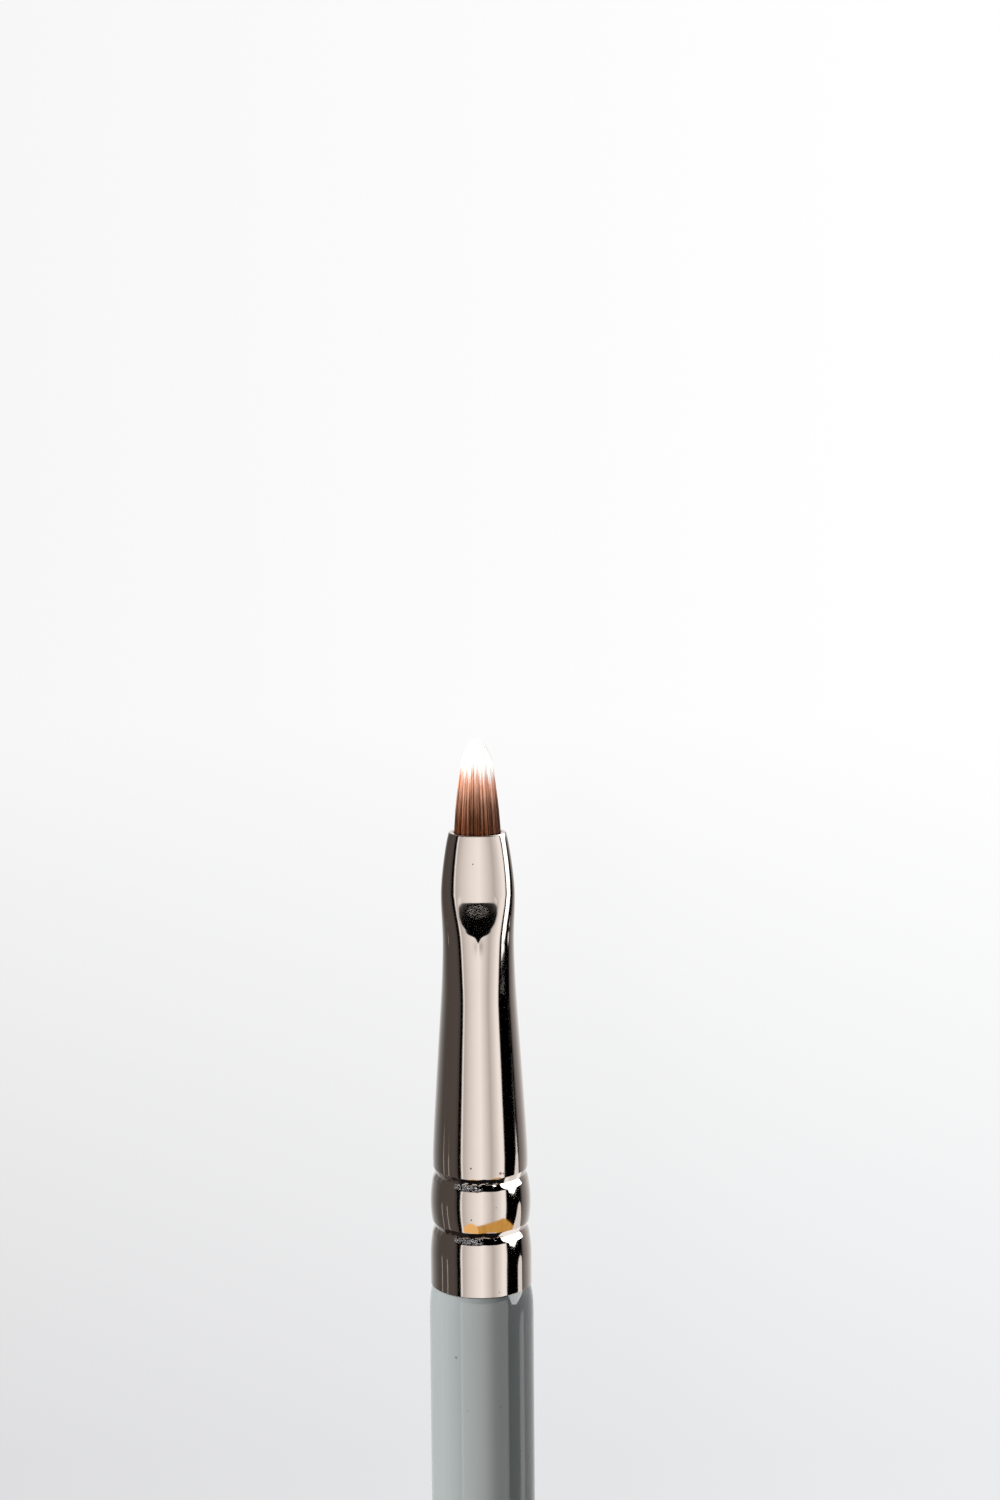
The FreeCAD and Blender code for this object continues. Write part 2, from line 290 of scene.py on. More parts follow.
def next_ring(bm, ring, before, after):
    """Extrudes a ring on. Before and after are its radius and place."""
    edges = {edge for vert in ring for edge in vert.link_edges}
    edges = [edge for edge in edges if all(vert in ring for vert in edge.verts)]
    made = bmesh.ops.extrude_edge_only(bm, edges=edges)["geom"]
    ring = {item for item in made if isinstance(item, bmesh.types.BMVert)}
    centre = Vector((0, REAR_EDGE + before[1] * MM, AXIS_HEIGHT))
    growth = after[0] / before[0]
    bmesh.ops.scale(
        bm,
        vec=(growth, 1, growth),
        space=Matrix.Translation(-centre),
        verts=list(ring),
    )
    bmesh.ops.translate(bm, vec=(0, (after[1] - before[1]) * MM, 0), verts=list(ring))
    return ring


def tube(bm, steps, sections):
    """A round tube through sections (radius, place). It gives all its rings."""
    ring = set(start_ring(bm, steps, *sections[0]))
    rings = [ring]
    for before, after in zip(sections, sections[1:]):
        ring = next_ring(bm, ring, before, after)
        rings.append(ring)
    return rings


# Handle

TAPER_END = -42.6
SHOULDER_START = -2.6
# How far the shoulder draws in, and how far short of the ferrule's edge it ends
SHOULDER_DROP = 0.27
SHOULDER_GAP = 0.03
# The tenon's corners (radius, place): its step at the ferrule's edge, its grip, the neck
# that the crimps squeeze, and its chamfered end
TENON = [
    (3.37, 0.0),
    (3.20, 0.0),
    (3.17, 0.5),
    (3.15, 2.0),
    (2.85, 3.6),
    (2.82, 8.8),
    (2.75, 13.6),
    (2.3, 14.0),
    (0.0, 14.0),
]


class HandleSettings(bpy.types.PropertyGroup):
    """Sizes and finish of the handle"""

    barrel: bpy.props.FloatProperty(
        name="Barrel radius",
        description="Radius of the straight part of the handle",
        default=3.65 * MM,
        unit="LENGTH",
    )
    tail: bpy.props.FloatProperty(
        name="Tail radius",
        description="Radius of the round tail",
        default=2.35 * MM,
        unit="LENGTH",
    )
    steps: bpy.props.IntProperty(
        name="Steps round",
        description="Faces in one turn of the handle",
        default=128,
        min=24,
    )
    lacquer: bpy.props.FloatVectorProperty(
        name="Lacquer",
        description="Colour of the lacquer",
        default=(0.40, 0.44, 0.44),
        size=3,
        subtype="COLOR",
    )


def lacquered_wood(colour):
    """Glossy grey-green lacquer with a faint flow in it, dust and small dark specks."""
    material, shader = new_shader("lacquered_wood")
    where = shader.coordinates()
    flow = shader.noise(shader.stretch(where, (0.8, 0.09, 0.8)), 1.0, 3.0)
    shaded = tuple(c * 0.955 for c in colour)
    base = shader.mix(flow, rgba(shaded), rgba(colour))
    fine = shader.noise(where, 9.0, 3.0)
    base = shader.mix(shader.step(fine, 0.62, 0.8) * 0.05, base, grey(0.6))
    specks = (
        ((-1.80, 39.81, 6.82), 0.09, grey(0.12)),
        ((1.28, 36.2, 7.07), 0.05, grey(0.12)),
        ((-1.02, 35.94, 7.15), 0.05, grey(0.2)),
        ((2.62, 32.55, 6.19), 0.06, grey(0.15)),
    )
    base = shader.specks(where, base, 0.7, specks)
    # Painted shadow: a dark line on the handle just behind the ferrule's edge
    _, along, _ = shader.split(where)
    base = shader.mix(shader.step(along, 44.2, 44.28) * 0.85, base, (0.05, 0.042, 0.038, 1))
    height = shader.noise(shader.stretch(where, (1.4, 0.35, 1.4)), 1.0, 2.0)
    shader.finish(
        {
            "Base Color": base,
            "Roughness": 0.45 + fine * 0.06,
            "Specular IOR Level": 0.15,
            "Normal": shader.bump(height, 0.2, 0.01 * MM),
            "Coat Weight": 1.0,
            "Coat Roughness": 0.03,
            "Coat IOR": 1.6,
        }
    )
    return material


class BRUSH_OT_handle(bpy.types.Operator):
    """Turn the lacquered handle: tail, taper, barrel, shoulder and tenon"""

    bl_idname = "brush.handle"
    bl_label = "Make the handle"

    def execute(self, context):
        sizes = context.scene.brush_handle
        barrel = sizes.barrel / MM
        tail = sizes.tail / MM
        # The tail's ball runs into the taper without a corner
        run = TAPER_END - (TAIL + tail)
        lean = math.atan(barrel / run) - math.asin(tail / math.hypot(barrel, run))
        # Corners of half the outline, from the pole of the tail to the end of the tenon
        outline = [(0.0, TAIL)]
        for share in shares(12):
            turn = (math.pi / 2 + lean) * share
            outline.append((tail * math.sin(turn), TAIL + tail * (1 - math.cos(turn))))
        start_radius, start = outline[-1]
        for share in shares(14):
            radius = start_radius + (barrel - start_radius) * share
            outline.append((radius, start + (TAPER_END - start) * share))
        for share in shares(8):
            outline.append((barrel, TAPER_END + (SHOULDER_START - TAPER_END) * share))
        for share in shares(10):
            radius = barrel - SHOULDER_DROP * share**3
            outline.append((radius, SHOULDER_START * (1 - share) - SHOULDER_GAP))
        outline += TENON
        bm = bmesh.new()
        corners = [
            bm.verts.new((0, REAR_EDGE + place * MM, AXIS_HEIGHT + radius * MM))
            for radius, place in outline
        ]
        edges = [bm.edges.new(pair) for pair in zip(corners, corners[1:])]
        bmesh.ops.spin(
            bm,
            geom=corners + edges,
            cent=(0, 0, AXIS_HEIGHT),
            axis=(0, 1, 0),
            angle=2 * math.pi,
            steps=sizes.steps,
            use_merge=True,
        )
        bmesh.ops.remove_doubles(bm, verts=bm.verts, dist=1e-7)
        bmesh.ops.recalc_face_normals(bm, faces=bm.faces)
        material = lacquered_wood(tuple(sizes.lacquer))
        new_piece("lacquered_handle", bm, material, "lacquered_wood", "handle")
        return {"FINISHED"}


# Ferrule

# Half widths of the drawn cone and the pressed end, against the place in millimetres
CONE = [
    (8.0, 3.402),
    (9.95, 3.292),
    (11.88, 3.19),
    (13.36, 3.097),
    (14.83, 3.007),
    (16.3, 2.914),
    (17.76, 2.822),
    (19.23, 2.726),
    (20.69, 2.634),
    (22.15, 2.553),
    (23.6, 2.497),
    (24.33, 2.477),
    (25.06, 2.469),
    (25.78, 2.480),
    (26.51, 2.504),
    (27.23, 2.534),
    (27.96, 2.553),
    (28.69, 2.545),
    (29.41, 2.502),
    (30.13, 2.430),
    (30.86, 2.341),
    (31.58, 2.237),
    (32.3, 2.115),
    (32.9, 1.975),
]
# Radii of the plain rear end and of the bead's middle, and the places around them
REAR_RADIUS = 3.535
BEAD_RADIUS = 3.492
BEAD_MIDDLE = 6.0
REAR_GROOVE = 4.27
FRONT_GROOVE = 8.2
# The notch that the roll bites into each groove: its depth and its reach to either side
NOTCH_DEPTH = 0.125
NOTCH_REACH = 0.45
# The place of the fold, where the dished facet ends and the flat mouth starts
FOLD = 28.36
# Share of the tube's height that the jaws leave along its flanks, against the place
PINCH = [
    (20.4, 1.0),
    (21.6, 0.992),
    (23.4, 0.902),
    (25.17, 0.814),
    (25.9, 0.775),
    (26.35, 0.7355),
    (26.67, 0.7075),
    (27.15, 0.6595),
    (27.65, 0.608),
    (28.05, 0.57),
    (28.36, 0.55),
    (28.7, 0.52),
    (29.0, 0.5),
]


def fall(place, start, groove, depth):
    """How far the skin has fallen at a place, on its way from a start into a groove."""
    return depth * max((place - start) / (groove - start), 0) ** 2


def skin_radius(place):
    """Radius of the round skin: plain rear end, bead between two grooves, cone."""
    if place < REAR_GROOVE:
        edge = 0.012 * max(1 - place / 0.03, 0) ** 2
        radius = REAR_RADIUS - edge - fall(place, 2.0, REAR_GROOVE, 0.25)
    elif place < BEAD_MIDDLE:
        radius = BEAD_RADIUS - fall(place, BEAD_MIDDLE, REAR_GROOVE, 0.165)
    elif place < FRONT_GROOVE:
        radius = BEAD_RADIUS - fall(place, BEAD_MIDDLE, FRONT_GROOVE, 0.25)
    else:
        radius = smooth_line(CONE, place) - fall(place, 10.2, FRONT_GROOVE, 0.1)
    # The notch is softer on its rear side
    for groove in (REAR_GROOVE, FRONT_GROOVE):
        power = 1.5 if place < groove else 1
        radius -= NOTCH_DEPTH * max(1 - abs(place - groove) / NOTCH_REACH, 0) ** power
    return radius


def groove_places(groove):
    """Places of the rings through a groove: closest at its bottom and the notch's edges."""
    bottom, edge = 0.008, 0.009
    notch_start, notch_end = groove - NOTCH_REACH, groove + NOTCH_REACH
    places = [notch_start - edge, notch_start + edge] + evenly(groove - 0.4, 0.052, 8)
    places += [groove - bottom, groove + bottom] + evenly(groove + 0.05, 0.052, 8)
    return places + [notch_end - edge, notch_end + edge]


def skin_rings(places, below=0.0):
    """Sections (radius, place) of the skin, or of a wall at a depth below it."""
    return [(skin_radius(place) - below, place) for place in places]


class FerruleSettings(bpy.types.PropertyGroup):
    """Sizes and finish of the ferrule"""

    wall: bpy.props.FloatProperty(
        name="Wall",
        description="Thickness of the metal",
        default=0.35 * MM,
        unit="LENGTH",
    )
    fold_depth: bpy.props.FloatProperty(
        name="Fold depth",
        description="Half the thickness of the ferrule at the fold",
        default=1.35 * MM,
        unit="LENGTH",
    )
    mouth_depth: bpy.props.FloatProperty(
        name="Mouth depth",
        description="Half the thickness of the ferrule at the mouth",
        default=1.05 * MM,
        unit="LENGTH",
    )
    press_slope: bpy.props.FloatProperty(
        name="Press slope",
        description="Fall of the facet behind the fold, along the brush",
        default=0.208,
    )
    steps: bpy.props.IntProperty(
        name="Steps round",
        description="Faces in one turn of the tube",
        default=160,
        min=32,
    )
    metal: bpy.props.FloatVectorProperty(
        name="Metal",
        description="Colour of the polished plating",
        default=(0.66, 0.60, 0.555),
        size=3,
        subtype="COLOR",
    )


def soft_least(first, second, radius):
    """The smaller of two numbers, rounded off where they meet."""
    share = max(radius - abs(first - second), 0) / radius
    return min(first, second) - share * share * radius / 4


def soft_rise(value, radius):
    """0 for negative numbers and the number itself for positive ones, rounded between."""
    return radius * math.log1p(math.exp(value / radius)) if value < 20 * radius else value


def bell(distance, width):
    """1 at the middle of a bell curve, and small beyond its width."""
    return math.exp(-((distance / width) ** 2))


def pressed_height(across, round_height, half_width, place, sizes):
    """Height of the pressed tube's skin above its axis, in mm. The flanks are drawn in
    gradually, and the jaw's facet falls steeply to the fold. Across is the distance from
    the middle, and half_width and round_height are the round skin's, all in mm."""
    fold = sizes.fold_depth / MM
    ahead = max(place - FOLD, 0)
    behind = soft_rise(FOLD - place, 0.05)
    depth = fold + (sizes.mouth_depth / MM - fold) * ahead / (MOUTH - FOLD)
    flat_height = round_height * depth / half_width
    # A low ridge along the middle, where the facet comes to a point
    ridge = 0.07 * bell(across, 0.2) * max(1 - abs(place - 25.25) / 0.8, 0)
    flank = round_height * smooth_line(PINCH, place) + ridge
    corner = 1.31 - 0.11 * math.exp(-behind / 0.2)
    side = 0.34 * soft_rise(across - corner, 0.04)
    facet = flat_height + sizes.press_slope * behind + 0.010 * behind**2 + side
    height = soft_least(flank, facet, 0.016)
    height = -soft_least(-height, -flat_height, 0.02)
    return min(height, round_height)


def plated_metal(colour):
    """Polished plating: bright, with faint drawing lines, ripples and a few specks."""
    material, shader = new_shader("plated_metal")
    where = shader.coordinates()
    cloud = shader.noise(where, 1.1, 3.0)
    base = shader.mix(cloud, rgba(tuple(c * 0.965 for c in colour)), rgba(colour))
    specks = (
        ((-0.65, 53.8, 6.9), 0.07, (0.05, 0.04, 0.035, 1)),
        ((-0.65, 50.08, 7.07), 0.06, (0.05, 0.04, 0.035, 1)),
        ((1.42, 53.34, 6.7), 0.12, (0.16, 0.07, 0.03, 1)),
        ((1.62, 53.3, 6.6), 0.09, (0.2, 0.1, 0.05, 1)),
        ((-0.33, 75.26, 4.85), 0.06, (0.08, 0.06, 0.05, 1)),
    )
    base = shader.specks(where, base, 0.85, specks)
    # Pale dust in the middles of some cells
    cells = shader.node("ShaderNodeTexVoronoi", None, {"Vector": where, "Scale": 0.75})
    outputs = cells.socket.node.outputs
    near = Socket(shader, outputs["Distance"])
    pick, _, _ = shader.split(Socket(shader, outputs["Color"]))
    dust = shader.step(near, 0.042, 0.028) * shader.step(pick, 0.45, 0.5)
    base = shader.mix(dust, base, grey(0.75))
    drawn = shader.noise(shader.stretch(where, (6.0, 0.2, 6.0)), 1.0, 2.0)
    ripple = shader.noise(where, 1.5, 2.0)
    # Fine tool marks on the pressed facet, within an oval around its middle
    marks = shader.noise(where, 11.0, 3.0)
    facet_middle = 71.9
    facet = shader.stretch(where, (1.0, 1.5, 0.0), (0, -1.5 * facet_middle, 0))
    marks = shader.spot(facet, (0, 0, 0), 0.75) * shader.step(marks, 0.46, 0.60)
    height = drawn * 0.25 + ripple * 0.7 + marks * 0.55
    shader.finish(
        {
            "Base Color": base,
            "Metallic": 1.0 - dust,
            "Roughness": 0.05 + cloud * 0.04 + dust * 0.4,
            "Normal": shader.bump(height, 0.16, 0.01 * MM),
        }
    )
    return material


class BRUSH_OT_ferrule(bpy.types.Operator):
    """Draw the ferrule, roll its crimps and press its mouth flat"""

    bl_idname = "brush.ferrule"
    bl_label = "Make the ferrule"

    def execute(self, context):
        sizes = context.scene.brush_ferrule
        wall = sizes.wall / MM
        places = [0.012, 0.03, 0.06, 0.5, 1.2, 1.9]
        places += evenly(2.1, 0.14, 12) + groove_places(REAR_GROOVE)
        places += evenly(4.83, 0.16, 18) + groove_places(FRONT_GROOVE)
        places += [8.76] + evenly(8.9, 0.2, 8) + evenly(10.5, 0.75, 14)
        places += evenly(21.1, 0.22, 18) + evenly(25.0, 0.08, 46)
        places += evenly(28.75, 0.24, 17) + [32.82]
        rear_edge = (3.52, 0.0)
        outside = [rear_edge] + skin_rings(places)
        # The lip is hardly rounded at the mouth
        outside += [(1.975, 32.87), (1.955, 32.893), (1.93, MOUTH), (1.68, MOUTH), (1.655, 32.88)]
        bore = (32.7, 32.2, 31.5, 30.5, 29.5, 28.6, 27.6, 26.6, 25.6, 24.6, 22.6, 20, 15, 10)
        inside = skin_rings(bore, wall)
        inside += [(2.85, FRONT_GROOVE), (3.12, BEAD_MIDDLE), (2.90, REAR_GROOVE)]
        inside += [(3.175, 2.3), (3.21, 0.1), rear_edge]
        bm = bmesh.new()
        rings = tube(bm, sizes.steps, outside + inside)
        bmesh.ops.remove_doubles(bm, verts=list(rings[0]) + list(rings[-1]), dist=1e-7)
        self.press(bm, rings, outside, sizes)
        self.roughen(bm)
        bmesh.ops.recalc_face_normals(bm, faces=bm.faces)
        # The creases of the crimps stay sharp
        crimped, crease = REAR_EDGE + 9.4 * MM, 0.13
        for edge in bm.edges:
            if edge.verts[0].co.y < crimped and edge.calc_face_angle(0) > crease:
                edge.smooth = False
        material = plated_metal(tuple(sizes.metal))
        new_piece("polished_ferrule", bm, material, "plated_metal", "ferrule")
        return {"FINISHED"}

    def press(self, bm, rings, outside, sizes):
        """Moves both walls up or down to where the jaws leave them."""
        # From here on the jaws reach, and what lies this deep is the inner wall
        jaws_start, wall_depth = 21.0, 0.03
        for number, ring in enumerate(rings):
            for vert in ring:
                if not vert.is_valid:
                    continue
                place = (vert.co.y - REAR_EDGE) / MM
                if place < jaws_start:
                    continue
                rise = (vert.co.z - AXIS_HEIGHT) / MM
                across = abs(vert.co.x) / MM
                half_width = math.hypot(rise, across)
                skin = smooth_line(CONE, place)
                outer = number < len(outside)
                height = pressed_height(across, abs(rise), skin, place, sizes)
                if not outer or skin - half_width > wall_depth:
                    top = pressed_height(0, skin, skin, place, sizes)
                    height = abs(rise) * (top - (skin - half_width)) / half_width
                vert.co.z = AXIS_HEIGHT + math.copysign(height, rise) * MM

    def roughen(self, bm):
        """Leaves the uneven bite of the rolls in the grooves, and a slight wave beside."""
        for vert in bm.verts:
            place = (vert.co.y - REAR_EDGE) / MM
            if not 2.2 < place < 10.0:
                continue
            turn = math.atan2(vert.co.x, vert.co.z - AXIS_HEIGHT)
            gap = min(abs(place - REAR_GROOVE), abs(place - FRONT_GROOVE))
            # The bite is clean on the right side
            bitten = min(max((0.6 - turn) / 0.3, 0), 1)
            wave = math.sin(7 * turn + 3 * place) + 0.7 * math.sin(13 * turn - 5 * place)
            rough = math.sin(41 * turn + 30 * place) * math.sin(27 * turn - 19 * place)
            bent = math.sin(9 * turn + 1) + 0.6 * math.sin(17 * turn) + 0.5 * math.sin(31 * turn)
            shift = 0.0006 * (wave - 2.2) * bell(gap, 0.9)
            shift += 0.0026 * (rough - 1) * bell(gap, 0.3) * bitten
            vert.co.y += 0.035 * MM * bent * bell(gap, 0.5) * bitten
            vert.co.x *= 1 + shift
            vert.co.z = AXIS_HEIGHT + (vert.co.z - AXIS_HEIGHT) * (1 + shift)


# Filaments

CLUMPS = 64
# The turn between neighbours that spreads points evenly over a round
GOLDEN_TURN = math.pi * (3 - math.sqrt(5))
# Where the filaments start, how far they stand out, and the half width and half depth of
# the oval that they fill
ROOT = 28.4
FREE_LENGTH = round(TIP - MOUTH, 3)
OVAL_WIDTH = 1.575
OVAL_DEPTH = 0.66


class TuftSettings(bpy.types.PropertyGroup):
    """Count, sizes and colours of the filaments"""

    count: bpy.props.IntProperty(
        name="Filaments",
        description="How many filaments stand in the mouth",
        default=760,
        min=50,
    )
    thickness: bpy.props.FloatProperty(
        name="Thickness",
        description="Radius of a filament at the mouth",
        default=0.048 * MM,
        unit="LENGTH",
    )
    dark: bpy.props.FloatVectorProperty(
        name="Dark",
        description="Colour of the filaments at the mouth",
        default=(0.38, 0.122, 0.046),
        size=3,
        subtype="COLOR",
    )
    warm: bpy.props.FloatVectorProperty(
        name="Warm",
        description="Colour where the dark dye runs out",
        default=(0.92, 0.50, 0.34),
        size=3,
        subtype="COLOR",
    )
    pale: bpy.props.FloatVectorProperty(
        name="Pale",
        description="Colour of the tips",
        default=(0.95, 0.94, 0.92),
        size=3,
        subtype="COLOR",
    )


def filament(dark, warm, pale):
    """Glossy tapered filaments, dark at the mouth and white at the tips, with a painted glow from
    their warm part to the tips.
    """
    material, shader = new_shader("filament")
    along = shader.node("ShaderNodeAttribute", {"attribute_name": "along"}, None, "Fac")
    strand = shader.node("ShaderNodeAttribute", {"attribute_name": "strand"}, None, "Fac")
    shift = along + (strand - 0.5) * 0.24
    fleck = shader.noise(shader.stretch(shader.coordinates(), (14.0, 1.2, 14.0)), 1.0, 2.0)
    brown = shader.mix(strand, rgba(tuple(c * 0.22 for c in dark)), rgba(dark))
    brown = shader.mix(shader.step(fleck, 0.55, 0.75) * 0.3, brown, (0.30, 0.13, 0.08, 1))
    brown = shader.mix(shader.step(strand, 0.70, 0.84), brown, (0.74, 0.36, 0.24, 1))
    copper = tuple(0.5 * (a + 0.6 * b) for a, b in zip(dark, warm))
    colour = shader.mix(shader.step(shift, 0.04, 0.30), brown, rgba(copper))
    # Painted glow: from the warm part on, the filaments give off light that stands in for light
    # through them; the same share lays on the warm dye
    warm_dye_and_painted_glow = shader.step(shift, 0.26, 0.50)
    colour = shader.mix(warm_dye_and_painted_glow, colour, rgba(warm))
    white = shader.step(shift, 0.48, 0.68)
    colour = shader.mix(white, colour, rgba(pale))
    # Colour of the painted glow: dim and warm at first, pale at the tips
    painted_glow_colour = shader.mix(white, rgba(tuple(c * 0.4 for c in warm)), rgba(pale))
    shader.finish(
        {
            "Base Color": colour,
            "Roughness": 0.42,
            "Specular IOR Level": 0.22,
            "Emission Color": shader.mix(warm_dye_and_painted_glow, grey(0.0), painted_glow_colour),
            "Emission Strength": 0.45,
        }
    )
    return material


class BRUSH_OT_tuft(bpy.types.Operator):
    """Set the filaments in the mouth of the ferrule"""

    bl_idname = "brush.tuft"
    bl_label = "Make the filaments"

    def execute(self, context):
        sizes = context.scene.brush_tuft
        chance = random.Random(4)
        pattern = self.pattern()
        bm = bmesh.new()
        along = bm.verts.layers.float.new("along")
        strand = bm.verts.layers.float.new("strand")
        # Each clump has its stand in the oval and a tone
        clumps = []
        for number in range(CLUMPS):
            reach = math.sqrt((number + 0.6) / CLUMPS) * 0.97
            turn = number * GOLDEN_TURN
            clumps.append((reach * math.sin(turn), reach * math.cos(turn), chance.random()))
        for number in range(sizes.count):
            # Even spread over the mouth: equal areas ring by ring
            reach = math.sqrt((number + 0.5) / sizes.count)
            turn = number * GOLDEN_TURN + chance.uniform(-0.1, 0.1)
            stand = (reach * math.sin(turn), reach * math.cos(turn))
            clump = self.nearest(clumps, stand)
            first = len(bm.verts)
            bm.from_mesh(pattern)
            bm.verts.ensure_lookup_table()
            verts = bm.verts[first:]
            self.bend(verts, stand, clump, sizes.thickness / MM, chance, along, strand)
        bpy.data.meshes.remove(pattern)
        bmesh.ops.recalc_face_normals(bm, faces=bm.faces)
        colours = (tuple(sizes.dark), tuple(sizes.warm), tuple(sizes.pale))
        material = filament(*colours)
        new_piece("filaments", bm, material, "filament", "filament_tuft")
        return {"FINISHED"}

    def nearest(self, clumps, stand):
        """The clump that a filament leans to: the nearest one, with depth counting less."""

        def gap(clump):
            return math.hypot(clump[0] - stand[0], 0.6 * (clump[1] - stand[1]))

        return min(clumps, key=gap)

    def pattern(self):
        """One straight filament of unit length and radius along Y, closed at both ends."""
        bm = bmesh.new()
        upright = Matrix.Rotation(math.radians(90), 4, "X")
        ring = bmesh.ops.create_circle(bm, cap_ends=True, segments=5, radius=1, matrix=upright)
        edges = list(bm.edges)
        places = [0.0, 0.3, 0.5, 0.64, 0.76, 0.86, 0.94, 1.0]
        for before, after in zip(places, places[1:]):
            made = bmesh.ops.extrude_edge_only(bm, edges=edges)["geom"]
            verts = [item for item in made if isinstance(item, bmesh.types.BMVert)]
            edges = [item for item in made if isinstance(item, bmesh.types.BMEdge)]
            edges = [edge for edge in edges if all(vert in verts for vert in edge.verts)]
            bmesh.ops.translate(bm, vec=(0, after - before, 0), verts=verts)
        bmesh.ops.contextual_create(bm, geom=edges)
        bmesh.ops.recalc_face_normals(bm, faces=bm.faces)
        mesh = bpy.data.meshes.new("pattern")
        bm.to_mesh(mesh)
        bm.free()
        return mesh

    def bend(self, verts, stand, clump, thickness, chance, along, strand):
        """Puts one filament in its place. It starts inside the ferrule, leaves the mouth
        at its share of the oval, and leans towards the point and its own clump."""
        reach = math.hypot(*stand)
        length = FREE_LENGTH - 0.01 - 1.62 * reach**3
        length -= chance.uniform(0, 0.3) * (1 - 0.5 * reach)
        # A few are clearly shorter
        if chance.random() < 0.15:
            length -= chance.uniform(0.2, 1.2)
        sway = chance.uniform(-0.04, 0.04)
        tone = min(max(clump[2] + chance.uniform(-0.12, 0.12), 0), 1)
        for vert in verts:
            share = vert.co.y
            place = ROOT + (MOUTH + length - ROOT) * share
            ahead = max(place - MOUTH, 0)
            gather = 0.38 * min(ahead / 4.5, 1)
            side = stand[0] + (clump[0] - stand[0]) * gather
            rise = stand[1] + (clump[1] - stand[1]) * gather
            narrowing = 1 - 0.285 * (ahead / 5.0) ** 1.5
            flatness = 1 - 0.62 * (ahead / FREE_LENGTH) ** 1.3
            across = OVAL_WIDTH * side * narrowing + sway * (ahead / 6) ** 2
            up = OVAL_DEPTH * rise * flatness
            taper = 1 - 0.80 * (ahead / length) ** 1.8
            radius = thickness * taper
            vert.co.x = (across + vert.co.x * radius) * MM
            vert.co.z = AXIS_HEIGHT + (up + vert.co.z * radius) * MM
            vert.co.y = REAR_EDGE + place * MM
            vert[along] = ahead / FREE_LENGTH
            vert[strand] = tone


# Hidden pieces


class BRUSH_OT_core(bpy.types.Operator):
    """Finish the epoxy and the glue inside the ferrule"""

    bl_idname = "brush.core"
    bl_label = "Finish the epoxy and glue"

    def execute(self, context):
        epoxy, shader = new_shader("epoxy")
        where = shader.coordinates()
        cloud = shader.noise(where, 1.6, 3.0)
        base = shader.mix(cloud, (0.42, 0.30, 0.14, 1), (0.58, 0.45, 0.26, 1))
        bubbles = shader.noise(where, 7.0, 2.0)
        shader.finish(
            {
                "Base Color": base,
                "Roughness": 0.12 + cloud * 0.1,
                "Normal": shader.bump(bubbles, 0.3, 0.03 * MM),
            }
        )
        glue, shader = new_shader("glue")
        where = shader.coordinates()
        cloud = shader.noise(where, 1.2, 3.0)
        base = shader.mix(cloud, (0.56, 0.52, 0.42, 1), (0.68, 0.64, 0.54, 1))
        shader.finish(
            {
                "Base Color": base,
                "Roughness": 0.5 + cloud * 0.15,
                "Normal": shader.bump(shader.noise(where, 4.0, 2.0), 0.3, 0.02 * MM),
            }
        )
        for node, material in (("root_plug", epoxy), ("tenon_glue", glue)):
            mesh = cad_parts[node].data
            mesh.materials.clear()
            mesh.materials.append(material)
        return {"FINISHED"}


# Stage


class StudioSettings(bpy.types.PropertyGroup):
    """Camera and light of the studio"""

    distance: bpy.props.FloatProperty(
        name="Camera distance",
        description="From the camera to the brush",
        default=0.6,
        unit="LENGTH",
    )
    lens: bpy.props.FloatProperty(
        name="Lens",
        description="Focal length of the camera in millimetres",
        default=209.9,
    )
    lean: bpy.props.FloatProperty(
        name="Camera lean",
        description="How far the camera leans over the filaments",
        default=math.radians(17),
        subtype="ANGLE",
    )
    lamp: bpy.props.FloatProperty(
        name="Lamp strength",
        description="Strength of the soft lamp on the left",
        default=3.3,
    )


def at(degrees):
    """A turn as a position on a ramp that goes all the way round."""
    return (degrees + 180) / 360


def cream(level):
    """A grey that gets warmer as it gets darker."""
    warmth = 0.8 - level
    return (level, level * (0.97 - 0.07 * warmth), level * (0.955 - 0.11 * warmth), 1)


def soft_box(shader, turn, rise):
    """The dark studio with its cream soft box above the brush."""
    black = grey(0.0)
    left = [
        (at(-180), grey(0.62)),
        (at(-160), grey(0.42)),
        (at(-138), grey(0.19)),
        (at(-118), (0.085, 0.077, 0.072, 1)),
        (at(-108), (0.062, 0.053, 0.048, 1)),
        (at(-66), (0.068, 0.058, 0.053, 1)),
        (at(-58), (0.05, 0.042, 0.038, 1)),
        (at(-55), black),
    ]
    right = [
        (at(105), black),
        (at(112), (0.12, 0.11, 0.108, 1)),
        (at(128), (0.23, 0.215, 0.212, 1)),
        (at(152), grey(0.44)),
        (at(180), grey(0.62)),
    ]
    cream_box = [
        (at(-48), black),
        (at(-47), cream(0.80)),
        (at(-44.5), cream(0.72)),
        (at(-42), cream(0.40)),
        (at(-28), cream(0.58)),
        (at(-12), cream(0.72)),
        (at(2), cream(0.80)),
        (at(16), cream(0.60)),
        (at(28), cream(0.42)),
        (at(40), cream(0.60)),
        (at(52), cream(0.80)),
        (at(60), cream(0.76)),
        (at(61), black),
    ]
    around = at(0) + turn / 360
    lit = shader.ramp(around, left + cream_box + right)
    dark = shader.ramp(around, left + right)
    dark = shader.mix(shader.step(rise, -20.5, -28.0) * 0.85, dark, (0.006, 0.005, 0.005, 1))
    inside = shader.step(rise, 4.8, 3.2) * shader.step(rise, -47.0, -45.5)
    return shader.mix(inside, dark, lit)


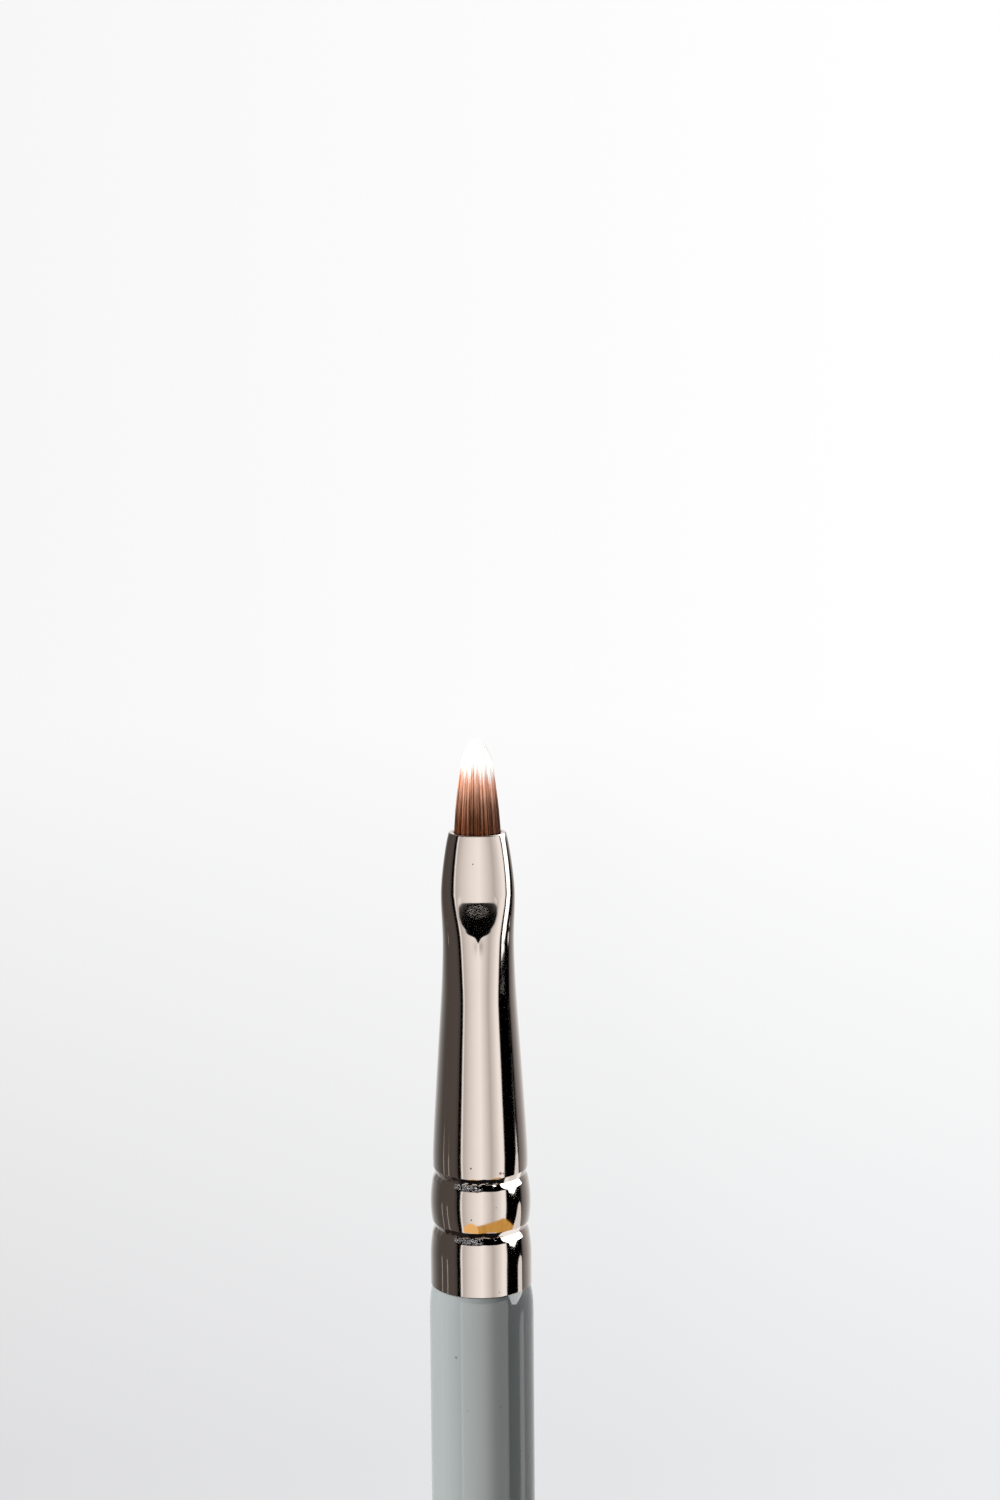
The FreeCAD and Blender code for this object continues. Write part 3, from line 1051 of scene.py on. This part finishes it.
def bench_light(shader, studio, direction, turn, rise):
    """Warm light from the bench behind the brush, with a round lamp at its left end."""
    uneven = shader.noise(direction, 7.0, 2.0)
    bench = shader.step(rise - turn * 0.103 - uneven * 1.6, -28.8, -29.5)
    bench = bench * shader.step(rise + turn * 0.226, -9.8, -10.6)
    bench = bench * shader.step(turn, -18.0, -15.0)
    lobe = ((turn + 25.0) / 19.0) ** 2.0 + ((rise + 34.5) / 8.0) ** 2.0
    lobe = shader.step(lobe, 1.05, 0.95)
    tan = shader.mix(uneven, (0.36, 0.17, 0.03, 1), (0.60, 0.34, 0.09, 1))
    floor_line = shader.step(rise - turn * 0.04, -40.2, -39.6)
    studio = shader.mix(bench * floor_line, studio, tan)
    return shader.mix(lobe * floor_line, studio, (0.72, 0.42, 0.15, 1))


def windows(shader, studio, turn, rise):
    """A bright window high on the right, pointed below, and a paler one low behind it."""
    off = abs(turn - 82.0)
    window = shader.step(rise - off * 0.22, -7.8, -7.0) * shader.step(rise, 62.0, 58.0)
    window = window * shader.step(turn + rise * 0.42, 67.5, 69.0)
    window = window * shader.step(turn, 114.0, 112.5)
    low = shader.step(rise - turn * 0.2, -57.3, -58.5) * shader.step(rise, -76.0, -74.0)
    low = low * shader.step(turn, 77.0, 79.0) * shader.step(turn, 138.0, 136.0)
    studio = shader.mix(window, studio, grey(3.0))
    return shader.mix(low, studio, grey(0.8))


def side_lamps(shader, studio, turn, rise):
    """A tall lamp low on the right, and the frame of another on the left."""
    width = shader.maths("MINIMUM", 5.0 - (rise + 17.0) * 0.6, (-15.2 - rise) * 4.0)
    tall = shader.step(abs(turn - 100.0) - width, 0.4, -0.4) * shader.step(rise, -46.0, -44.0)
    studio = shader.mix(tall, studio, cream(0.62))
    rim = abs(abs(turn + 91.5) - 8.5)
    rim = shader.step(rim, 1.2, 0.5) * shader.step(rise, -15.0, -16.0)
    rim = rim * shader.step(rise, -44.0, -42.0)
    return shader.mix(rim, studio, cream(0.36))


def sparks(shader, studio, direction, turn, rise):
    """Sparks for the rough bottom of the grooves."""
    broken = shader.noise(direction, 32.0, 2.0)
    lit = shader.step(turn, -70.0, -64.0) * shader.step(turn, 10.0, -16.0)
    lit = lit * shader.step(rise, 14.0, 16.0) * shader.step(rise, 50.0, 46.0)
    lit = lit * shader.step(broken, 0.60, 0.64)
    return shader.mix(lit, studio, (1.25, 1.3, 1.4, 1))


def studio_world(shader):
    """Pale for the camera, even for plain surfaces, and a studio of lights for gloss.

    The studio is drawn on two angles in degrees: turn, from straight above to the right,
    and rise, from straight across the brush towards its filaments."""
    direction = shader.node("ShaderNodeTexCoord", None, None, "Generated")
    across, along, up = shader.split(direction)
    turn = shader.maths("ARCTAN2", across, up) * (180 / math.pi)
    rise = shader.maths("ARCSINE", along) * (180 / math.pi)
    studio = soft_box(shader, turn, rise)
    studio = bench_light(shader, studio, direction, turn, rise)
    # Pale above and below, far from the brush's own line
    far = shader.step(rise, 60.0, 70.0) + shader.step(rise, -76.0, -84.0)
    studio = shader.mix(far, studio, cream(0.5))
    studio = windows(shader, studio, turn, rise)
    studio = side_lamps(shader, studio, turn, rise)
    studio = sparks(shader, studio, direction, turn, rise)
    camera, glossy = shader.rays("Is Camera Ray", "Is Glossy Ray")
    plain = shader.mix(camera, grey(0.175), grey(0.93))
    colour = shader.mix(glossy, plain, studio)
    inputs = {"Color": colour, "Strength": 1.0 + glossy * 0.65}
    background = shader.node("ShaderNodeBackground", None, inputs)
    shader.node("ShaderNodeOutputWorld", None, {"Surface": background})


def pale_floor():
    """A pale sheet that greys a little towards the handle."""
    material, shader = new_shader("pale_floor")
    where = shader.coordinates()
    across, along, _ = shader.split(where)
    lengthways = {"Value": along, "From Min": 30.0, "From Max": 84.0}
    lengthways = shader.node("ShaderNodeMapRange", None, lengthways)
    sideways = {"Value": across, "From Min": -34.0, "From Max": 36.0}
    sideways = shader.node("ShaderNodeMapRange", None, sideways)
    left = shader.mix(lengthways, (0.703, 0.703, 0.716, 1), grey(0.897))
    right = shader.mix(lengthways, (0.799, 0.806, 0.82, 1), grey(0.975))
    seen = shader.mix(sideways, left, right)
    camera, through, spread = shader.rays(
        "Is Camera Ray", "Is Transmission Ray", "Is Diffuse Ray"
    )
    shining = shader.node("ShaderNodeEmission", None, {"Color": seen, "Strength": 1.055})
    sheet = shader.node("ShaderNodeBsdfDiffuse", None, {"Color": grey(0.8)})
    share = camera * 0.965 + through * 0.965 + spread * 0.7
    mixed = shader.node("ShaderNodeMixShader", None, {0: share, 1: sheet, 2: shining})
    shader.node("ShaderNodeOutputMaterial", None, {"Surface": mixed})
    return material


class BRUSH_OT_studio(bpy.types.Operator):
    """Lay the floor and set the camera and the lamps"""

    bl_idname = "brush.studio"
    bl_label = "Set the stage"

    def execute(self, context):
        sizes = context.scene.brush_studio
        scene = context.scene
        self.add_floor()
        self.add_card()
        self.add_camera(scene, sizes)
        self.add_lamp(scene, sizes.lamp)
        scene.world = bpy.data.worlds.new("studio")
        studio_world(Shader(scene.world))
        scene.view_settings.view_transform = "Standard"
        return {"FINISHED"}

    def add_floor(self):
        """The sheet that the brush lies on. What gloss sees below is in the world."""
        bm = bmesh.new()
        bmesh.ops.create_grid(bm, x_segments=1, y_segments=1, size=2.0)
        floor = new_object("studio_floor", bm, pale_floor())
        floor.visible_glossy = False

    def add_card(self):
        """A bright card beside the pressed end, which only gloss sees."""
        bm = bmesh.new()
        middle = Vector((18.0, 73.2, 5.9)) * MM
        size = Matrix.Diagonal((5.7 * MM, 7.5 * MM, 1.0, 1.0))
        turned = Matrix.Translation(middle) @ Matrix.Rotation(math.radians(90), 4, "Y")
        bmesh.ops.create_grid(bm, x_segments=1, y_segments=1, size=1.0, matrix=turned @ size)
        # It narrows towards the handle
        lowest = min(bm.verts, key=lambda vert: vert.co.y + vert.co.z)
        lowest.co.z = 7.4 * MM
        material, shader = new_shader("light_card")
        inputs = {"Color": (1.0, 0.99, 0.97, 1), "Strength": 2.3}
        shining = shader.node("ShaderNodeEmission", None, inputs)
        shader.node("ShaderNodeOutputMaterial", None, {"Surface": shining})
        card = new_object("light_card", bm, material)
        card.visible_camera = False
        card.visible_diffuse = False
        card.visible_transmission = False
        card.visible_shadow = False

    def add_camera(self, scene, sizes):
        """The camera looks down on the tuft, a little beside it and turned a little."""
        back = Vector((0, math.sin(sizes.lean), math.cos(sizes.lean)))
        up = Vector((0, math.cos(sizes.lean), -math.sin(sizes.lean)))
        target = Vector((1.61 * MM, 83.1 * MM, AXIS_HEIGHT))
        view = Matrix((Vector((1, 0, 0)), up, back)).transposed().to_4x4()
        roll = Matrix.Rotation(math.radians(-0.48), 4, "Z")
        data = bpy.data.cameras.new("camera")
        data.lens = sizes.lens
        data.sensor_width = 36
        data.clip_start = 0.01
        data.clip_end = 10
        camera = bpy.data.objects.new("camera", data)
        scene.collection.objects.link(camera)
        camera.matrix_world = Matrix.Translation(target + back * sizes.distance) @ view @ roll
        scene.camera = camera

    def add_lamp(self, scene, strength):
        """A soft lamp low on the left, which gloss doesn't see."""
        data = bpy.data.lights.new("left_lamp", "SUN")
        data.energy = strength
        data.angle = math.radians(24)
        data.color = (1.0, 0.99, 0.975)
        lamp = bpy.data.objects.new("left_lamp", data)
        scene.collection.objects.link(lamp)
        aim = Vector((0.90, -0.10, -0.40))
        lamp.matrix_world = aim.to_track_quat("-Z", "Y").to_matrix().to_4x4()
        lamp.visible_glossy = False


# Panel


class BRUSH_PT_panel(bpy.types.Panel):
    """Sizes, colours and steps of the eyeliner brush"""

    bl_idname = "BRUSH_PT_panel"
    bl_label = "Eyeliner brush"
    bl_space_type = "VIEW_3D"
    bl_region_type = "UI"
    bl_category = "Brush"

    def draw(self, context):
        for operator, group in STEPS:
            box = self.layout.box()
            box.operator(operator)
            if group:
                settings = getattr(context.scene, group)
                for name in settings.__annotations__:
                    box.prop(settings, name)


STEPS = (
    ("brush.handle", "brush_handle"),
    ("brush.ferrule", "brush_ferrule"),
    ("brush.tuft", "brush_tuft"),
    ("brush.core", None),
    ("brush.studio", "brush_studio"),
)
GROUPS = (
    ("brush_handle", HandleSettings),
    ("brush_ferrule", FerruleSettings),
    ("brush_tuft", TuftSettings),
    ("brush_studio", StudioSettings),
)
OPERATORS = (
    BRUSH_OT_handle,
    BRUSH_OT_ferrule,
    BRUSH_OT_tuft,
    BRUSH_OT_core,
    BRUSH_OT_studio,
)


def register():
    for name, group in GROUPS:
        bpy.utils.register_class(group)
        setattr(bpy.types.Scene, name, bpy.props.PointerProperty(type=group))
    for operator in OPERATORS:
        bpy.utils.register_class(operator)
    bpy.utils.register_class(BRUSH_PT_panel)


def unregister():
    bpy.utils.unregister_class(BRUSH_PT_panel)
    for operator in reversed(OPERATORS):
        bpy.utils.unregister_class(operator)
    for name, group in reversed(GROUPS):
        delattr(bpy.types.Scene, name)
        bpy.utils.unregister_class(group)


def main():
    register()
    bpy.ops.brush.handle()
    bpy.ops.brush.ferrule()
    bpy.ops.brush.tuft()
    bpy.ops.brush.core()
    bpy.ops.brush.studio()


if __name__ == "__main__":
    main()
